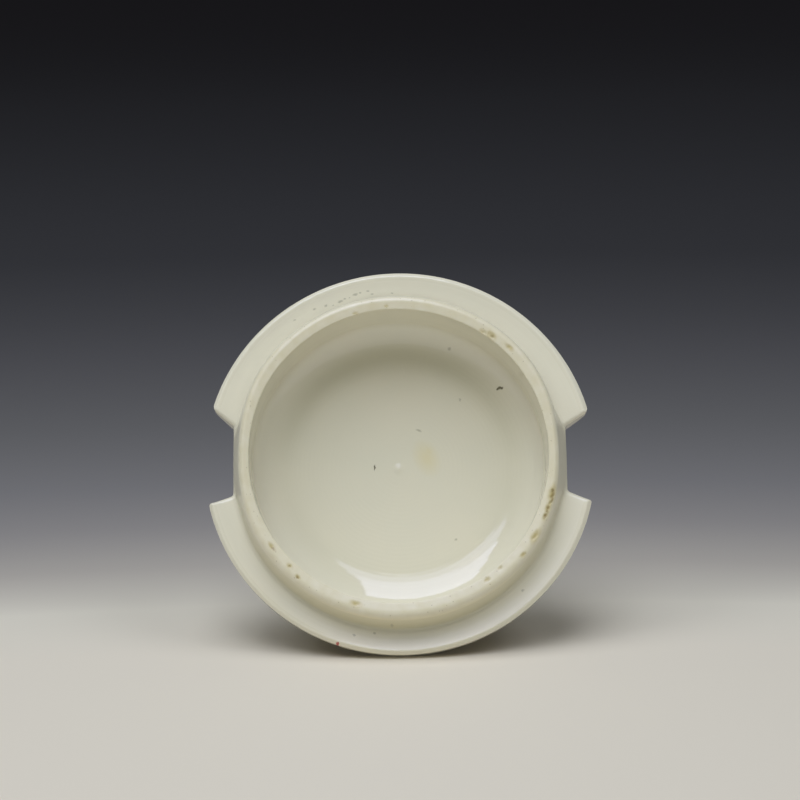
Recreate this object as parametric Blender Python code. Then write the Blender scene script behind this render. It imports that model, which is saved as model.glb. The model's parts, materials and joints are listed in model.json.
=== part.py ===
"""Porcelain cover of a butter tub, standing on its edge and leaning back, inside to the front.

The clay pieces that are luted together before firing are separate objects: the domed cover
with its notched flange, the locating collar that drops into the tub, and the turned knob.

Every profile is drawn in the cover's own frame: Z is the turning axis, the seat plane is
Z = 0, the collar rises towards +Z and the dome falls towards -Z. One parent empty leans
the whole cover back and stands the lowest point of its rim on the origin.
"""

import math

import bpy
from mathutils import Matrix, Vector

MM = 0.001

# Cover: the hollow under the dome and the wall round it
MOUTH_RADIUS = 45.2 * MM
CROWN_WALL = 5.0 * MM
FLOOR_FILLET = 9.5 * MM
FLOOR_SLOPE = math.radians(5.0)
PIP_RADIUS = 2.6 * MM
PIP_HEIGHT = 0.45 * MM

# Cover: flange, bevelled rim and outer dome
FLANGE_WIDTH = 6.25 * MM
RIM_BEVEL_WIDTH = 1.5 * MM
RIM_BEVEL_HEIGHT = 1.25 * MM
RIM_HEIGHT = 3.0 * MM
DOME_RISE = 15.5 * MM
DOME_OVERHANG = 1.4 * MM

# Locating collar
COLLAR_HEIGHT = 8.8 * MM
COLLAR_INNER_DRAFT = math.radians(4.0)
COLLAR_OUTER_DRAFT = math.radians(24.0)
LIP_WIDTH = 2.2 * MM
LIP_ROUND = 0.9 * MM
FOOT_FILLET = 3.0 * MM
FOOT_LAND = 0.35 * MM

# Two notches that let the tub's lugs through the flange
NOTCH_FLOOR_WIDTH = 21.6 * MM
NOTCH_FLARE = math.radians(29.0)
NOTCH_CORNER = 1.2 * MM
CUTTER_OVERRUN = 6.0 * MM

# Knob on the crown
KNOB_RADIUS = 10.5 * MM
KNOB_HEIGHT = 15.5 * MM
KNOB_WAIST_RADIUS = 6.6 * MM
KNOB_FOOT_RADIUS = 8.6 * MM
KNOB_FOOT_HEIGHT = 1.2 * MM
KNOB_HEAD_HEIGHT = 8.0 * MM

# Slip joint between luted pieces, and the lean of the whole cover
LUTE_GAP = 0.3 * MM
LEAN = math.radians(27.0)

# Most of a wall or depth that the rounding at its edge may take
EDGE_SHARE = 0.42
CORNER_SHARE = 0.9

# Fineness of the turned forms
COVER_STEPS = 112
KNOB_STEPS = 48
PIP_STEPS = 4
FLOOR_STEPS = 4
CORNER_STEPS = 7
EDGE_STEPS = 4
FOOT_STEPS = 5
DOME_STEPS = 12
NOTCH_STEPS = 3
KNOB_SEAT_STEPS = 3
KNOB_WAIST_STEPS = 6
KNOB_HEAD_STEPS = 10
POLE_MERGE = 0.01 * MM

# Linear colours and roughness of the glaze and of the wiped lip
GLAZE_COLOUR = (0.60, 0.585, 0.49)
BARE_COLOUR = (0.62, 0.56, 0.44)
GLAZE_ROUGHNESS = 0.12
BARE_ROUGHNESS = 0.2

# Sizes that follow from the driving ones
LIP_INNER_RADIUS = MOUTH_RADIUS + COLLAR_HEIGHT * math.tan(COLLAR_INNER_DRAFT)
LIP_OUTER_RADIUS = LIP_INNER_RADIUS + LIP_WIDTH
LIP_EDGE = min(LIP_ROUND, EDGE_SHARE * LIP_WIDTH)
FOOT_ANGLE = math.pi / 2 + COLLAR_OUTER_DRAFT
ROOT_RADIUS = LIP_OUTER_RADIUS + (COLLAR_HEIGHT - FOOT_LAND) * math.tan(COLLAR_OUTER_DRAFT)
FOOT_RADIUS = ROOT_RADIUS + FOOT_FILLET / math.tan(FOOT_ANGLE / 2)
RIM_RADIUS = FOOT_RADIUS + FLANGE_WIDTH
FLOOR_DEPTH = RIM_HEIGHT + DOME_RISE - CROWN_WALL
FLOOR_CORNER = min(FLOOR_FILLET, CORNER_SHARE * FLOOR_DEPTH)
BEVEL_WIDTH = min(RIM_BEVEL_WIDTH, EDGE_SHARE * FLANGE_WIDTH)
BEVEL_HEIGHT = min(RIM_BEVEL_HEIGHT, EDGE_SHARE * RIM_HEIGHT)
DOME_REACH = RIM_RADIUS + DOME_OVERHANG
NOTCH_FLOOR_X = math.sqrt(ROOT_RADIUS ** 2 - (NOTCH_FLOOR_WIDTH / 2) ** 2)


def clear_scene():
    for item in list(bpy.data.objects):
        bpy.data.objects.remove(item, do_unlink=True)


def porcelain(name, colour, roughness):
    """A glazed or bare porcelain material."""
    material = bpy.data.materials.new(name)
    material.use_nodes = True
    shader = material.node_tree.nodes["Principled BSDF"]
    shader.inputs["Base Color"].default_value = (*colour, 1.0)
    shader.inputs["Roughness"].default_value = roughness
    shader.inputs["Metallic"].default_value = 0.0
    return material


def arc(centre, radius, start, end, steps):
    """Points of an arc in the radius and height plane, angles from +radius towards +height."""
    points = []
    for step in range(steps + 1):
        angle = start + (end - start) * step / steps
        points.append((centre[0] + radius * math.cos(angle), centre[1] + radius * math.sin(angle)))
    return points


def dome_height(radius):
    """Height of the outer dome, the middle of a flat ellipse that would end a little past the rim."""
    at_radius = math.sqrt(1.0 - (radius / DOME_REACH) ** 2)
    at_rim = math.sqrt(1.0 - (RIM_RADIUS / DOME_REACH) ** 2)
    return -RIM_HEIGHT - DOME_RISE * (at_radius - at_rim) / (1.0 - at_rim)


def floor_profile():
    """The inside from the centre pip out over the dished floor and up the wall to the seat."""
    corner_centre_radius = MOUTH_RADIUS - FLOOR_CORNER
    floor_edge = corner_centre_radius + FLOOR_CORNER * math.sin(FLOOR_SLOPE)
    dish = math.tan(FLOOR_SLOPE) / (2.0 * floor_edge)
    corner_centre_height = -FLOOR_DEPTH + dish * floor_edge ** 2 + FLOOR_CORNER * math.cos(FLOOR_SLOPE)
    points = []
    for step in range(PIP_STEPS + 1):
        radius = PIP_RADIUS * step / PIP_STEPS
        swell = PIP_HEIGHT * (1.0 + math.cos(math.pi * step / PIP_STEPS)) / 2.0
        points.append((radius, -FLOOR_DEPTH + dish * radius ** 2 + swell))
    for step in range(1, FLOOR_STEPS + 1):
        radius = PIP_RADIUS + (floor_edge - PIP_RADIUS) * step / FLOOR_STEPS
        points.append((radius, -FLOOR_DEPTH + dish * radius ** 2))
    corner = arc((corner_centre_radius, corner_centre_height), FLOOR_CORNER,
                 FLOOR_SLOPE - math.pi / 2, 0.0, CORNER_STEPS)
    points += corner[1:]
    points.append((MOUTH_RADIUS, -LUTE_GAP))
    return points


def cover_profile():
    """The whole turned section of the cover, from the inside pole round the rim to the crown.

    The collar is luted into a shallow scored band, sunk below the flat of the flange.
    """
    points = floor_profile()
    band_radius = FOOT_RADIUS + LUTE_GAP
    points += [(band_radius, -LUTE_GAP), (band_radius, 0.0)]
    points += [(RIM_RADIUS - BEVEL_WIDTH, 0.0), (RIM_RADIUS, -BEVEL_HEIGHT)]
    for step in range(DOME_STEPS):
        radius = RIM_RADIUS * math.cos(math.pi / 2 * step / DOME_STEPS)
        points.append((radius, dome_height(radius)))
    points.append((0.0, dome_height(0.0)))
    return points


def collar_profile():
    """The closed section of the collar: lip, drafted outside, hollow foot, base and inside."""
    round_height = COLLAR_HEIGHT - LIP_EDGE
    points = arc((LIP_INNER_RADIUS + LIP_EDGE, round_height), LIP_EDGE,
                 math.pi - COLLAR_INNER_DRAFT, math.pi / 2, EDGE_STEPS)
    points += arc((LIP_OUTER_RADIUS - LIP_EDGE, round_height), LIP_EDGE,
                  math.pi / 2, COLLAR_OUTER_DRAFT, EDGE_STEPS)
    points += arc((FOOT_RADIUS, FOOT_LAND + FOOT_FILLET), FOOT_FILLET,
                  math.pi + COLLAR_OUTER_DRAFT, 1.5 * math.pi, FOOT_STEPS)
    points.append((FOOT_RADIUS, 0.0))
    points.append((MOUTH_RADIUS, 0.0))
    return points


def knob_profile():
    """The knob's section from its foot on the dome, over the waist and round the head."""
    points = []
    for step in range(KNOB_SEAT_STEPS + 1):
        radius = KNOB_FOOT_RADIUS * step / KNOB_SEAT_STEPS
        points.append((radius, dome_height(radius) - LUTE_GAP))
    foot_bottom = points[-1][1] - KNOB_FOOT_HEIGHT
    crown = dome_height(0.0) - LUTE_GAP - KNOB_HEIGHT
    head_middle = crown + KNOB_HEAD_HEIGHT / 2.0
    head_top = crown + KNOB_HEAD_HEIGHT
    for step in range(KNOB_WAIST_STEPS + 1):
        share = step / KNOB_WAIST_STEPS
        blend = (1.0 - math.cos(2.0 * math.pi * share)) / 2.0
        straight = KNOB_FOOT_RADIUS + (KNOB_WAIST_RADIUS - KNOB_FOOT_RADIUS) * min(1.0, 2.0 * share)
        radius = straight + (KNOB_WAIST_RADIUS - straight) * blend
        points.append((radius, foot_bottom + (head_top - foot_bottom) * share))
    start = math.acos(min(1.0, KNOB_WAIST_RADIUS / KNOB_RADIUS))
    for step in range(1, KNOB_HEAD_STEPS + 1):
        angle = start + (-math.pi / 2 - start) * step / KNOB_HEAD_STEPS
        rise = KNOB_HEAD_HEIGHT / 2.0 * math.sin(angle) / (math.sin(start) if angle > 0.0 else 1.0)
        points.append((KNOB_RADIUS * math.cos(angle), head_middle + rise))
    points[-1] = (0.0, crown)
    return points


def turned(name, profile, closed, steps, material, parent):
    """An object turned about its own Z axis from a profile that runs down its outer side."""
    count = len(profile)
    edges = [(index, index + 1) for index in range(count - 1)]
    if closed:
        edges.append((count - 1, 0))
    mesh = bpy.data.meshes.new(name)
    mesh.from_pydata([(radius, 0.0, height) for radius, height in profile], edges, [])
    mesh.materials.append(material)
    item = bpy.data.objects.new(name, mesh)
    bpy.context.scene.collection.objects.link(item)
    item.parent = parent
    screw = item.modifiers.new("turn", "SCREW")
    screw.axis = "Z"
    screw.angle = 2.0 * math.pi
    screw.steps = steps
    screw.render_steps = steps
    screw.use_merge_vertices = True
    screw.merge_threshold = POLE_MERGE
    screw.use_smooth_shade = True
    return item


def notch_outline():
    """Plan of one notch: a chord across the collar's root, flaring out past the rim."""
    half = NOTCH_FLOOR_WIDTH / 2.0
    reach = RIM_RADIUS + CUTTER_OVERRUN
    mouth_half = half + (reach - NOTCH_FLOOR_X) * math.tan(NOTCH_FLARE)
    turn = math.pi / 2 - NOTCH_FLARE
    setback = NOTCH_CORNER * math.tan(turn / 2.0)
    centre = (NOTCH_FLOOR_X + NOTCH_CORNER, half - setback)
    upper = arc(centre, NOTCH_CORNER, math.pi, math.pi - turn, NOTCH_STEPS)
    lower = [(x, -y) for x, y in reversed(upper)]
    return lower + upper + [(reach, mouth_half), (reach, -mouth_half)]


def notch_cutter(name, side, parent):
    """A prism through the whole flange for the notch on one side, side being 1 or -1."""
    outline = notch_outline()
    if side < 0:
        outline = [(-x, -y) for x, y in outline]
    count = len(outline)
    top = COLLAR_HEIGHT + CUTTER_OVERRUN
    bottom = -RIM_HEIGHT - DOME_RISE - CUTTER_OVERRUN
    vertices = [(x, y, bottom) for x, y in outline] + [(x, y, top) for x, y in outline]
    faces = [tuple(range(count, 2 * count)), tuple(reversed(range(count)))]
    for index in range(count):
        following = (index + 1) % count
        faces.append((index, following, count + following, count + index))
    mesh = bpy.data.meshes.new(name)
    mesh.from_pydata(vertices, [], [tuple(reversed(face)) for face in faces])
    item = bpy.data.objects.new(name, mesh)
    bpy.context.scene.collection.objects.link(item)
    item.parent = parent
    item.hide_render = True
    item.display_type = "WIRE"
    return item


def cut(item, cutters):
    for cutter in cutters:
        boolean = item.modifiers.new(cutter.name, "BOOLEAN")
        boolean.operation = "DIFFERENCE"
        boolean.solver = "EXACT"
        boolean.object = cutter


def leaning_empty():
    """The empty that leans the cover back and puts the lowest point of its rim at the origin."""
    turn = Matrix.Rotation(math.pi / 2 - LEAN, 4, "X")
    lowest = min((turn @ Vector((0.0, -radius, height)) for radius, height in cover_profile()),
                 key=lambda point: point.z)
    empty = bpy.data.objects.new("cover_axis", None)
    bpy.context.scene.collection.objects.link(empty)
    empty.matrix_world = Matrix.Translation(-lowest) @ turn
    return empty


def main():
    clear_scene()
    cover_glaze = porcelain("cover_glaze", GLAZE_COLOUR, GLAZE_ROUGHNESS)
    collar_body = porcelain("collar_bare_porcelain", BARE_COLOUR, BARE_ROUGHNESS)
    knob_glaze = porcelain("knob_glaze", GLAZE_COLOUR, GLAZE_ROUGHNESS)
    axis = leaning_empty()
    cover = turned("cover", cover_profile(), False, COVER_STEPS, cover_glaze, axis)
    collar = turned("locating_collar", collar_profile(), True, COVER_STEPS, collar_body, axis)
    turned("knob", knob_profile(), False, KNOB_STEPS, knob_glaze, axis)
    cutters = [notch_cutter("notch_right", 1, axis), notch_cutter("notch_left", -1, axis)]
    cut(cover, cutters)
    cut(collar, cutters)
    print("rim radius %.2f mm, seat depth %.2f mm, notch floor at %.2f mm"
          % (RIM_RADIUS / MM, FLOOR_DEPTH / MM, NOTCH_FLOOR_X / MM))


main()
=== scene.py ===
# %% [markdown]
# # The cover of a butter tub in glazed porcelain
#
# The cover is a shallow dome with a flat flange, a collar that drops into the tub and a knob on
# its crown. It stands on its edge and leans back, so that its open side faces the camera.
# The imported solids give its sizes and its place, and this script only dresses them. First the
# frame is loaded.

# %% Load the imported solids as a fixed frame
import json
import math

import bpy
import numpy as np
from mathutils import Matrix, Vector

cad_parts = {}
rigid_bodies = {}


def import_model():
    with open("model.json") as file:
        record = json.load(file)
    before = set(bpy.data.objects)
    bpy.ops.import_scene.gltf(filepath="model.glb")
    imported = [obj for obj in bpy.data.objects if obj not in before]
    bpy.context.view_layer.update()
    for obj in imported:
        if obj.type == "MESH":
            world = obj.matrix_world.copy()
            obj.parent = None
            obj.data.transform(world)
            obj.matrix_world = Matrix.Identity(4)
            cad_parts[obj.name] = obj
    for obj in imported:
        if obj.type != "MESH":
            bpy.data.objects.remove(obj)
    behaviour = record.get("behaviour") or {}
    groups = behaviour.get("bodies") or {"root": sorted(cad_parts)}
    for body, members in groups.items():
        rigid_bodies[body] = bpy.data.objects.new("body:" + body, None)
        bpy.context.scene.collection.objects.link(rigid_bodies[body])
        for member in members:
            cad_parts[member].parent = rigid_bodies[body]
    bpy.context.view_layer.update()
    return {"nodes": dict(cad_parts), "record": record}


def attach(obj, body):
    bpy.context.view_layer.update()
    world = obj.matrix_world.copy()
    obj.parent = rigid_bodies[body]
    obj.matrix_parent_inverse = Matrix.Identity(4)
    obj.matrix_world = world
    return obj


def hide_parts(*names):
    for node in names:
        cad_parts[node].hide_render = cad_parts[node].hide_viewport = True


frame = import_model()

MM = 0.001
print("solids:", ", ".join(sorted(frame["nodes"])))

# %% [markdown]
# ## The cover's own frame
#
# A potter thinks of a cover lying flat on the wheel, so every shape below is drawn that way, in
# millimetres: Z is the turning axis, the seat on the tub is Z = 0, the collar rises to +Z and
# the dome falls to -Z. The seat's mount gives the axis. The collar is turned about that axis and
# stands on the seat plane, so its extents give the centre, and one matrix leans the result back.

# %% Find the cover's own axes and centre
seat = next(mount for mount in frame["record"]["mounts"] if mount["name"] == "flange_seat")
across = np.array((1.0, 0.0, 0.0))
axis = np.array(seat["axis"])
upward = np.cross(axis, across)
own_axes = np.stack((across, upward, axis))


def node_points(name):
    """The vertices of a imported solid, one row each, in metres."""
    vertices = frame["nodes"][name].data.vertices
    flat = np.empty(len(vertices) * 3)
    vertices.foreach_get("co", flat)
    return flat.reshape(-1, 3)


collar_spread = node_points("locating_collar") @ own_axes.T
centre_own = (collar_spread.min(0) + collar_spread.max(0)) / 2.0
centre_own[2] = collar_spread[:, 2].min()
centre = centre_own @ own_axes
lean = Matrix(own_axes.T.tolist()).to_4x4()
lean.translation = centre
print("centre of the seat at %s mm" % np.round(centre / MM, 2))

# %% Measure the solids along these axes
NOTCH_SPAN = 6.0


def own_points(name):
    """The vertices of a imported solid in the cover's own frame, in millimetres."""
    return (node_points(name) - centre) @ own_axes.T / MM


collar_points = own_points("locating_collar")
cover_points = own_points("cover")
knob_points = own_points("knob")
MOUTH_RADIUS = np.hypot(collar_points[:, 0], collar_points[:, 1]).min()
COLLAR_HEIGHT = collar_points[:, 2].max()
RIM_RADIUS = np.hypot(cover_points[:, 0], cover_points[:, 1]).max()
CROWN_DEPTH = -cover_points[:, 2].min()
across_notches = np.abs(cover_points[:, 1]) < NOTCH_SPAN
NOTCH_FLOOR_X = cover_points[across_notches, 0].max()
KNOB_RADIUS = np.hypot(knob_points[:, 0], knob_points[:, 1]).max()
KNOB_DEPTH = -knob_points[:, 2].min()
print("rim %.2f mm, mouth %.2f mm, notch floor at %.2f mm" % (RIM_RADIUS, MOUTH_RADIUS, NOTCH_FLOOR_X))

# %% [markdown]
# ## The turned section
#
# On the wheel a tool is held against the spinning clay, and the line it follows is the section.
# Here the section is a list of points from the middle of the inside, over the floor, up the wall,
# round the lip, down the collar, across the flange and the rim, and over the dome to the crown.
# Arcs take more points than straight stretches, because only they need them to look round.

# %% Draw the section from the inside pole up the wall
PIP_RADIUS = 2.2
PIP_HEIGHT = 0.2
PIP_POINTS = 8
CROWN_WALL = 5.0
FLOOR_START = 3.0
FLOOR_SLOPE = math.radians(5.0)
FLOOR_POINTS = 12
CORNER_REACH = 14.5
CORNER_RISE = 7.5
CORNER_POINTS = 19
INNER_DRAFT = math.radians(4.0)
WALL_SHARE = 0.85
WALL_POINTS = 6


def inside_section():
    """The dished floor with its turning pip, the flat oval corner and the wall up to the lip."""
    floor_depth = CROWN_DEPTH - CROWN_WALL
    corner_radius = MOUTH_RADIUS - CORNER_REACH
    corner_start = math.atan(CORNER_REACH / CORNER_RISE * math.tan(FLOOR_SLOPE))
    floor_edge = corner_radius + CORNER_REACH * math.sin(corner_start)
    dish = math.tan(FLOOR_SLOPE) / (2.0 * floor_edge)
    pip_radii = np.linspace(0.0, PIP_RADIUS, PIP_POINTS)
    floor_radii = np.linspace(FLOOR_START, floor_edge, FLOOR_POINTS)
    points = []
    for radius in np.concatenate((pip_radii, floor_radii)):
        swell = PIP_HEIGHT * (1.0 + math.cos(math.pi * min(1.0, radius / PIP_RADIUS))) / 2.0
        points.append((radius, -floor_depth + dish * radius ** 2 + swell))
    corner_height = points[-1][1] + CORNER_RISE * math.cos(corner_start)
    for turn in np.linspace(corner_start, math.pi / 2, CORNER_POINTS)[1:]:
        points.append((corner_radius + CORNER_REACH * math.sin(turn),
                       corner_height - CORNER_RISE * math.cos(turn)))
    for share in np.linspace(0.0, WALL_SHARE, WALL_POINTS):
        height = COLLAR_HEIGHT * share
        points.append((MOUTH_RADIUS + height * math.tan(INNER_DRAFT), height))
    return points


inside_points = inside_section()
INSIDE_END = len(inside_points)
print("inside: %d points, down to %.1f mm below the seat" % (INSIDE_END, CROWN_DEPTH - CROWN_WALL))

# %% Round the lip
OUTER_DRAFT = math.radians(6.5)
LIP_WIDTH = 4.4
LIP_FALL = 0.8
LIP_FACE_POINTS = 5
LIP_INNER_EDGE = 0.35
INNER_EDGE_STEPS = 5
LIP_OUTER_EDGE = 2.1
OUTER_EDGE_STEPS = 10


def arc(middle, radius, start, end, steps):
    """Points of an arc in the radius and height plane, both ends included."""
    angles = np.linspace(start, end, steps + 1)
    return [(middle[0] + radius * math.cos(a), middle[1] + radius * math.sin(a)) for a in angles]


def fillet(before, corner, after, radius, steps):
    """Points of the round at a corner between two straight stretches of the section."""
    before, corner, after = (np.array(point) for point in (before, corner, after))
    back = (before - corner) / np.linalg.norm(before - corner)
    on = (after - corner) / np.linalg.norm(after - corner)
    half = math.acos(back @ on) / 2.0
    middle = corner + (back + on) / np.linalg.norm(back + on) * radius / math.sin(half)
    first = corner + back * radius / math.tan(half) - middle
    last = corner + on * radius / math.tan(half) - middle
    sweep = math.copysign(math.pi - 2.0 * half, first[0] * last[1] - first[1] * last[0])
    start = math.atan2(first[1], first[0])
    return arc(middle, radius, start, start + sweep, steps)


lip_radius = MOUTH_RADIUS + COLLAR_HEIGHT * math.tan(INNER_DRAFT) + LIP_WIDTH
lip_outer = (lip_radius, COLLAR_HEIGHT)
lip_start = COLLAR_HEIGHT - LIP_FALL
lip_inner = (MOUTH_RADIUS + lip_start * math.tan(INNER_DRAFT), lip_start)
root = (lip_radius + COLLAR_HEIGHT * math.tan(OUTER_DRAFT), 0.0)
inner_edge = fillet((MOUTH_RADIUS, 0.0), lip_inner, lip_outer, LIP_INNER_EDGE, INNER_EDGE_STEPS)
outer_edge = fillet(lip_inner, lip_outer, root, LIP_OUTER_EDGE, OUTER_EDGE_STEPS)
lip_line = np.linspace(inner_edge[-1], outer_edge[0], LIP_FACE_POINTS)
lip_face = [tuple(point) for point in lip_line[1:-1]]
lip_section = inner_edge + lip_face + outer_edge
LIP_END = np.array(lip_section[-1])
print("lip: %d points, collar's foot at %.2f mm" % (len(lip_section), root[0]))

# %% Draw the section from the lip over the flange and the dome
COLLAR_POINTS = 8
FOOT_FILLET = 0.9
FOOT_STEPS = 9
FLANGE_POINTS = 9
BEVEL_HEIGHT = 1.4
EDGE_REACH = 1.5
EDGE_STEPS = 13
RIM_HEIGHT = 3.0
BAND_POINTS = 4
DOME_OVERHANG = 1.4
DOME_POINTS = 25


def top_section(fillet_steps):
    """The collar's drafted outside and the hollow foot where it meets the flange."""
    foot = fillet(lip_outer, root, (RIM_RADIUS, 0.0), FOOT_FILLET, fillet_steps)
    wall = [tuple(point) for point in np.linspace(lip_section[-1], foot[0], COLLAR_POINTS)]
    return wall[1:-1] + foot


def dome_height(radius):
    """The outer dome, the middle of a flat ellipse that would end a little past the rim."""
    dome_reach = RIM_RADIUS + DOME_OVERHANG
    at_radius = np.sqrt(1.0 - (radius / dome_reach) ** 2)
    at_rim = math.sqrt(1.0 - (RIM_RADIUS / dome_reach) ** 2)
    return -RIM_HEIGHT - (CROWN_DEPTH - RIM_HEIGHT) * (at_radius - at_rim) / (1.0 - at_rim)


inside_rows = inside_points + lip_section
top_rows = top_section(FOOT_STEPS)
flange_rows = np.linspace(top_rows[-1][0], RIM_RADIUS - EDGE_REACH, FLANGE_POINTS)[1:-1]
top_rows += [(radius, 0.0) for radius in flange_rows]
edge_rows = arc((RIM_RADIUS - EDGE_REACH, -EDGE_REACH), EDGE_REACH, math.pi / 2, 0.0, EDGE_STEPS)
band_heights = np.linspace(-BEVEL_HEIGHT, -RIM_HEIGHT, BAND_POINTS)
band_rows = [(RIM_RADIUS, height) for height in band_heights[1:]]
dome_radii = [RIM_RADIUS * math.cos(a) for a in np.linspace(0.0, math.pi / 2, DOME_POINTS)]
dome_rows = [(radius, dome_height(radius)) for radius in dome_radii[1:]]
dome_rows[-1] = (0.0, -CROWN_DEPTH)
cover_section = np.array(inside_rows + top_rows + edge_rows + band_rows + dome_rows)
TOP_START = len(inside_rows)
EDGE_START = TOP_START + len(top_rows)
BAND_START = EDGE_START + len(edge_rows)
DOME_START = BAND_START + len(band_rows)
print("whole section: %d points" % len(cover_section))

# %% [markdown]
# ## The notched outline
#
# Two notches let the tub's lugs stand up through the flange. Seen along the axis each one is a
# straight cut across the foot of the collar with two sides that flare out to the rim. They were
# cut by hand in soft clay, so the four sides differ a little, and the glaze that ran over their
# floors added half a millimetre. A column of the mesh is drawn through each point of this
# outline, so the cut follows it exactly.

# %% Draw half of a notch
NOTCH_GLAZE = 0.5
NOTCH_FLOOR_POINTS = 11
NOTCH_CORNER = 1.2
NOTCH_CORNER_STEPS = 6
NOTCH_SIDE_POINTS = 16
TIP_STEPS = 7
notch_floor = NOTCH_FLOOR_X + NOTCH_GLAZE
print("notch floor at %.2f mm with its glaze" % notch_floor)


def notch_side(half_width, flare, tip_round):
    """Half of a notch: its floor, inner corner, flared side and the rounded tip at the rim."""
    turn = math.pi / 2 - flare
    floor_end = half_width - NOTCH_CORNER * math.tan(turn / 2.0)
    floor = [(notch_floor, y) for y in np.linspace(0.0, floor_end, NOTCH_FLOOR_POINTS)]
    corner_middle = (notch_floor + NOTCH_CORNER, floor_end)
    corner = arc(corner_middle, NOTCH_CORNER, math.pi, math.pi - turn, NOTCH_CORNER_STEPS)
    along = np.array((math.cos(flare), math.sin(flare)))
    inward = np.array((-along[1], along[0]))
    start = np.array((notch_floor, half_width)) + tip_round * inward
    half_term = start @ along
    reach = RIM_RADIUS - tip_round
    run = -half_term + math.sqrt(half_term ** 2 - start @ start + reach ** 2)
    tip = start + run * along
    tip_arc = arc(tip, tip_round, flare - math.pi / 2, math.atan2(tip[1], tip[0]), TIP_STEPS)
    side = [tuple(point) for point in np.linspace(corner[-1], tip_arc[0], NOTCH_SIDE_POINTS)]
    return np.array(floor[:-1] + corner[:-1] + side[:-1] + tip_arc)


# %% Join four quarters to the whole outline
RIM_STEP = math.radians(0.55)
# Each cut, anticlockwise from the upper right: half of the notch's width at its floor, the flare
# of its side in degrees, and the round of its tip
NOTCH_CUTS = ((10.2, 30.0, 1.8), (11.7, 39.0, 2.2), (10.3, 21.0, 1.0), (10.4, 26.0, 0.7))
MIRRORS = ((1.0, 1.0), (-1.0, 1.0), (-1.0, -1.0), (1.0, -1.0))

notch_walls = []
quarters = []
for number, (half_width, flare, tip_round) in enumerate(NOTCH_CUTS):
    wall = notch_side(half_width, math.radians(flare), tip_round)
    tip_angle = math.atan2(wall[-1, 1], wall[-1, 0])
    rim_count = round((math.pi / 2 - tip_angle) / RIM_STEP)
    rim_angles = np.linspace(tip_angle, math.pi / 2, rim_count + 1)[1:]
    rim = RIM_RADIUS * np.stack((np.cos(rim_angles), np.sin(rim_angles)), 1)
    quarter = np.concatenate((wall, rim)) * MIRRORS[number]
    notch_walls.append(wall * MIRRORS[number])
    quarters.append((quarter if number % 2 == 0 else quarter[::-1])[:-1])
outline = np.concatenate(quarters)
reach = np.hypot(outline[:, 0], outline[:, 1])
directions = outline / reach[:, None]
print("outline: %d columns" % len(outline))

# %% [markdown]
# ## Geometry Nodes that turn a section
#
# Any turned piece follows one rule: the section is repeated in every direction round the axis.
# A Screw modifier could do that, but only in even steps. This tree takes its directions from the
# same guide mesh as the section, so columns may crowd where the notches need them. A flag tells
# the two sets of points apart, and each vertex of a grid looks up its own row and column.

# %% A helper that adds one node to any tree
def add(tree, kind, inputs=None, **settings):
    """Adds a node, sets its properties, and fills its sockets with values, links or a node's result."""
    node = tree.nodes.new(kind)
    for name, value in settings.items():
        setattr(node, name, value)
    for key, value in (inputs or {}).items():
        if isinstance(value, bpy.types.Node):
            value = next(output for output in value.outputs if output.enabled)
        if isinstance(value, bpy.types.NodeSocket):
            tree.links.new(value, node.inputs[key])
        else:
            node.inputs[key].default_value = value
    return node


# %% The tree itself
JOIN_DISTANCE = 0.0001


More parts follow.
